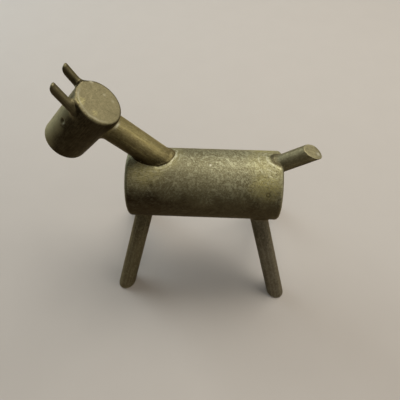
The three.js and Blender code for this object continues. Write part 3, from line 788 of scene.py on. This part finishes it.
    # crown rim darker on the side turned from the light and on its outer rounding: painted shade; nose face and head
    # sides darker: partly dark patina, partly painted shade
    dark = np.where(crown, np.maximum(rim * np.maximum(0.75 * rim_unlit, np.maximum(0.95 * smooth(r, HEAD_R - 0.75, HEAD_R - 0.35), 0.95 * edge_lit * smooth(r, HEAD_R - 1.05, HEAD_R - 0.60))), 0.10 * smooth(fbm(V, 2.2, 89), -0.1, 0.5) + 0.13 * smooth(u + 0.8 * fbm(V, 2.0, 87), 1.0, 6.0)), np.where(nose, 0.8, shade + fore * (1 - 0.55 * edge_lit * smooth(z, HEAD_L - 1.0, HEAD_L - 0.1)) * (1 - 0.35 * close)))
    lay = np.where((crown | nose)[:, None], np.stack([along, across, region], -1), np.stack([z, arc, region], -1))
    return finish_bar("bar_head", head_ax, mesh, depth,
                      dict(grain=grain, dark=dark, fresh=fresh, worn=worn, pit=pit, peak=peak, shine=shine), HEAD_M, "head", lay)


# ------------------------------------------------------------------ ears
def ear_axes(side):
    lean, splay = rad(EAR_LEAN), rad(EAR_SPLAY)
    # in the head's own terms: towards the forehead, towards the crown, to the side
    w = (fore_w * math.cos(lean) + crown_w * math.sin(lean)) * math.cos(splay) + side_w * side * math.sin(splay)
    o = head_mid + fore_w * EAR_START + crown_w * (HEAD_BACK - EAR_FROM_CROWN) + side_w * side * EAR_SPACING / 2
    back = -fore_w * math.sin(lean) + crown_w * math.cos(lean)
    return Axes(o, w, back)


def ear_root(side):
    ax = ear_axes(side)
    return swollen((ax.o + ax.w * 4.2 + ax.u * 1.7, 2.0, 1.7))


def make_ear(name, key, side):
    ax = ear_axes(side)
    reach = EAR_REACH[key]
    # the cut tip: the point is at the back, which is angle 0
    cut = math.tan(rad(EAR_CUT))
    end = lambda x, y: reach - (EAR_R - x) * cut - 1.75 * np.clip((-x + 0.1) / EAR_R, 0, 1) ** 2 \
        - 1.0 * np.clip((x - 0.45) / EAR_R, 0, 1) ** 2 - 0.35 * np.clip(np.abs(y) / EAR_R, 0, 1) ** 2
    start = lambda x, y: HEAD.reach(ax, x, y, 9.0, -1) - 0.9
    mesh = bar(ax, EAR_R, 84, 78, 12, (0.1, 0.55), start, end)
    V, quads, tris, info = mesh
    n = outward(V, quads, tris)
    z = info["z"]
    up = upward(n, V, 15, -0.1, 0.9)
    grain = 0.30 * up
    depth, pit, peak = skin(V, grain, 603 + int(side))
    lines = noise(np.stack([info["ang"] * EAR_R * 2.6, z * 0.16, 0 * z], -1), 1.0, 101)
    depth = depth * 0.8 + 0.012 * (0.5 + 0.5 * lines)
    height, close = fillet(V, n, [(HEAD.distance, 1.1, ear_root(side), 45 + side)])
    depth = depth * (1 - 0.5 * close) - height
    tip = (info["region"] > 1.5)
    worn = 0.06 * smooth(reach - z, 1.6, 0.2) * up
    # the ear darker underneath: partly dark patina, partly painted shade; darker again on the upward faces near the tip
    return finish_bar("bar_" + name, ax, mesh, depth,
                      dict(grain=grain, dark=np.clip((1 - up) * 0.85 + 0.78 * smooth(reach - z, 1.7, 0.4) * smooth(n[:, 2], 0.1, 0.6), 0, 1), fresh=0.12 * up, worn=worn, pit=pit * 0.7, peak=peak), HEAD_M, name)


# ------------------------------------------------------------------ tail
def make_tail():
    normal = in_xz(TAIL_NORMAL)
    flat_end = plane_cut(tail_ax, tail_ax.o + tail_w * TAIL_L, normal)
    # the lowest corner is filed off a little
    end = lambda x, y: flat_end(x, y) - 0.55 * np.clip(-y / TAIL_R - 0.1, 0, 1) ** 1.5 * (1 + 0.5 * np.clip(x / TAIL_R, -1, 1))
    start = lambda x, y: BODY.reach(tail_ax, x, y, 12.0, -1) - 1.2
    mesh = bar(tail_ax, TAIL_R, 150, 104, 20, (0.15, 0.22), start, end)
    V, quads, tris, info = mesh
    n = outward(V, quads, tris)
    z = info["z"]
    up = upward(n, V, 16, -0.62, 0.42)
    tip = info["region"] > 1.5
    grain = np.where(tip, 0.25, 0.28 * up + 0.12)
    depth, pit, peak = skin(V, grain, 803)
    saw = noise(np.stack([V[:, 1] * 2.3, V[:, 0] * 0.35, 0 * z], -1), 1.0, 111)
    depth += 0.02 * tip * (0.5 + 0.5 * saw)
    height, close = fillet(V, n, [(BODY.distance, 1.4, tail_root, 41)])
    depth = depth * (1 - 0.5 * close) - height
    rim = smooth(info["r"], TAIL_R - 0.7, TAIL_R - 0.2) * tip
    tu, tv, _ = tail_ax.local(V)
    # a bright spot on the end face: painted highlight
    spot = np.exp(-((tu + 0.3) / 0.80) ** 2 - ((tv + 1.6) / 0.60) ** 2) * (info["region"] > 1.0)
    specks = pits(V, 1.2, 0.20, 0.18, 0.40, 113) * ~tip
    worn = np.clip(tip * (0.42 + 0.2 * smooth(saw, 0, 0.7)) + 0.12 * rim, 0, 1)
    shine = np.clip(0.95 * spot + 0.70 * specks + 0.22 * rim * smooth(tu, 0.5, 2.5), 0, 1)
    # the tail darker underneath and on its filler at the body: partly dark patina, partly painted shade
    return finish_bar("bar_tail", tail_ax, mesh, depth,
                      dict(grain=grain, dark=np.clip((1 - up) * (1 - tip) * 1.25 + 0.25 * close + 0.12 * tip * smooth(tv + 0.8 * fbm(V, 1.6, 117), -0.5, 2.0), 0, 1), fresh=0.12 * tip, worn=worn, pit=pit, peak=peak, shine=shine), TAIL_M, "tail")


# ------------------------------------------------------------------ legs
def leg_axes(foot, hip, side):
    a = ORIGIN + [foot[0], side * foot[1], -AXIS_Z]
    b = ORIGIN + [hip[0], side * hip[1], -HIP_DROP]
    return Axes(a, b - a, (0, 0, 1))


def make_leg(name, foot, hip, side, seed):
    ax = leg_axes(foot, hip, side)
    start = plane_cut(ax, ax.o, np.array([0, 0, 1.0]))
    end = lambda x, y: BODY.reach(ax, x, y, 20.0, 1) + 1.0
    mesh = bar(ax, LEG_R, 104, 150, 12, (LEG_EDGE, 0.2), start, end)
    V, quads, tris, info = mesh
    V[:, 2] = np.maximum(V[:, 2], 0)
    V[:, 1] = side * np.minimum(side * V[:, 1], FOOT_REACH)
    n = outward(V, quads, tris)
    z, ang = info["z"], info["ang"]
    foot_face = info["region"] < 0.5
    up = smooth(n[:, 2] + 0.20 * fbm(V, 4.0, seed), -0.5, 0.75)
    grain = 0.22 + 0.12 * up
    depth, pit, peak = skin(V, grain, seed)
    lines = noise(np.stack([ang * LEG_R * 2.4, z * 0.06, 0 * z], -1), 1.0, seed + 5)
    depth = depth + 0.016 * (0.5 + 0.5 * lines)
    depth = np.where(foot_face, 0.3 * depth, depth)
    height, close = fillet(V, n, [(BODY.distance, 1.3, REAR_BLOB if name == "leg_rear_left" else None, seed + 50)])
    depth = depth * (1 - 0.5 * close) - height
    band = smooth(lines, 0.05, 0.7)
    foot_rim = smooth(V[:, 2], 1.2, 0.2) * (1 - foot_face)
    # small bright specks on the filler where the leg meets the body: painted glints
    root_glints = pits(V, 1.1, 0.35, 0.14, 0.34, seed + 13) * smooth(BODY.distance(V), 1.7, 0.6) * (0.75 if "rear" in name else 0.25)
    worn = np.clip(0.14 * band + 0.35 * foot_rim + 0.05, 0, 1)
    # the leg darker underneath, less so near the floor: partly dark patina, partly painted shade; darker high up under
    # the body, more on the front legs: painted shadow of the body
    dark = np.clip((1 - up) * 0.72 * (1 - 0.45 * smooth(V[:, 2], 9, 1)) * (1 - 0.3 * band) + (0.70 if "front" in name else 0.45) * smooth(V[:, 2] + 2 * fbm(V, 4.0, seed + 9), 19, 30), 0, 1)
    return finish_bar("bar_" + name, ax, mesh, depth,
                      dict(grain=grain, dark=dark, fresh=0.04, worn=worn, pit=pit * 0.8, peak=peak, shine=root_glints), REAR_M if "rear" in name else LEGS_M, name)


LEGS = (("leg_front_left", FRONT_FOOT, FRONT_HIP, -1, 1003), ("leg_front_right", FRONT_FOOT, FRONT_HIP, 1, 1103),
        ("leg_rear_left", REAR_FOOT, REAR_HIP, -1, 1203), ("leg_rear_right", REAR_FOOT, REAR_HIP, 1, 1303))


def make_all():
    make_body()
    make_neck()
    make_head()
    make_ear("ear_left", "left", -1)
    make_ear("ear_right", "right", 1)
    make_tail()
    for name, foot, hip, side, seed in LEGS:
        make_leg(name, foot, hip, side, seed)


make_all()

# ------------------------------------------------------------------ floor and light
def make_floor():
    n, half = 24, 1.6
    g = np.linspace(-half, half, n + 1)
    verts = [(float(x), float(y), -0.00002) for y in g for x in g]
    faces = [(j * (n + 1) + i, j * (n + 1) + i + 1, (j + 1) * (n + 1) + i + 1, (j + 1) * (n + 1) + i) for j in range(n) for i in range(n)]
    me = bpy.data.meshes.new("floor")
    me.from_pydata(verts, [], faces)
    m = bpy.data.materials.new("pale_floor")
    m.use_nodes = True
    nt = m.node_tree
    s = nt.nodes["Principled BSDF"]
    t = nt.nodes.new("ShaderNodeTexNoise")
    t.inputs["Scale"].default_value = 60.0
    c = nt.nodes.new("ShaderNodeMix"); c.data_type = "RGBA"
    c.inputs[6].default_value, c.inputs[7].default_value = (0.520, 0.475, 0.420, 1), (0.540, 0.494, 0.437, 1)
    nt.links.new(nt.nodes.new("ShaderNodeTexCoord").outputs["Object"], t.inputs["Vector"])
    nt.links.new(t.outputs[0], c.inputs[0])
    nt.links.new(c.outputs[2], s.inputs["Base Color"])
    s.inputs["Roughness"].default_value = 0.85
    s.inputs["Specular IOR Level"].default_value = 0.1
    me.materials.append(m)
    ob = bpy.data.objects.new("floor", me)
    bpy.context.scene.collection.objects.link(ob)


def area(name, place, aim, size, watts, colour):
    d = bpy.data.lights.new(name, "AREA")
    d.shape, d.size, d.size_y, d.energy, d.color = "RECTANGLE", size[0], size[1], watts, colour
    ob = bpy.data.objects.new(name, d)
    bpy.context.scene.collection.objects.link(ob)
    z = unit(np.asarray(place, float) - np.asarray(aim, float))
    x = unit(np.cross((0, 0, 1.0), z)) if abs(z[2]) < 0.999 else np.array([1.0, 0, 0])
    y = np.cross(z, x)
    m = Matrix.Identity(4)
    for i in range(3):
        m[i][0], m[i][1], m[i][2], m[i][3] = x[i], y[i], z[i], place[i]
    ob.matrix_world = m
    ob.visible_camera = False


make_floor()
def lamp(name, azimuth, elevation, size, watts, colour):
    """a soft box 0.6 m from the figurine; azimuth 0 is behind it as the camera sees it, 90 to the right"""
    a, e = rad(azimuth), rad(elevation)
    area(name, (0.6 * math.sin(a) * math.cos(e), 0.6 * math.cos(a) * math.cos(e), 0.6 * math.sin(e) + 0.045), (0, 0, 0.045), size, watts, colour)


lamp("key", 48, 60, (0.44, 0.36), 2.20, (1.0, 0.975, 0.93))
lamp("back", 0, 60, (0.40, 0.34), 1.00, (1.0, 0.98, 0.94))
lamp("cool_high", -50, 32, (0.36, 0.30), 1.05, (0.82, 0.92, 1.0))
lamp("cool_low", -60, 11, (0.36, 0.24), 0.92, (0.68, 0.85, 1.0))
lamp("right", 100, 20, (0.34, 0.40), 0.65, (1.0, 0.96, 0.90))
lamp("front", 180, 60, (0.40, 0.34), 0.48, (1.0, 0.91, 0.80))

world = bpy.data.worlds.new("world")
bpy.context.scene.world = world
world.use_nodes = True
bg = world.node_tree.nodes.get("Background")
bg.inputs["Color"].default_value = (0.95, 0.97, 1.0, 1)
bg.inputs["Strength"].default_value = 0.02
bpy.context.scene.view_settings.view_transform = "Standard"

bpy.context.view_layer.update()
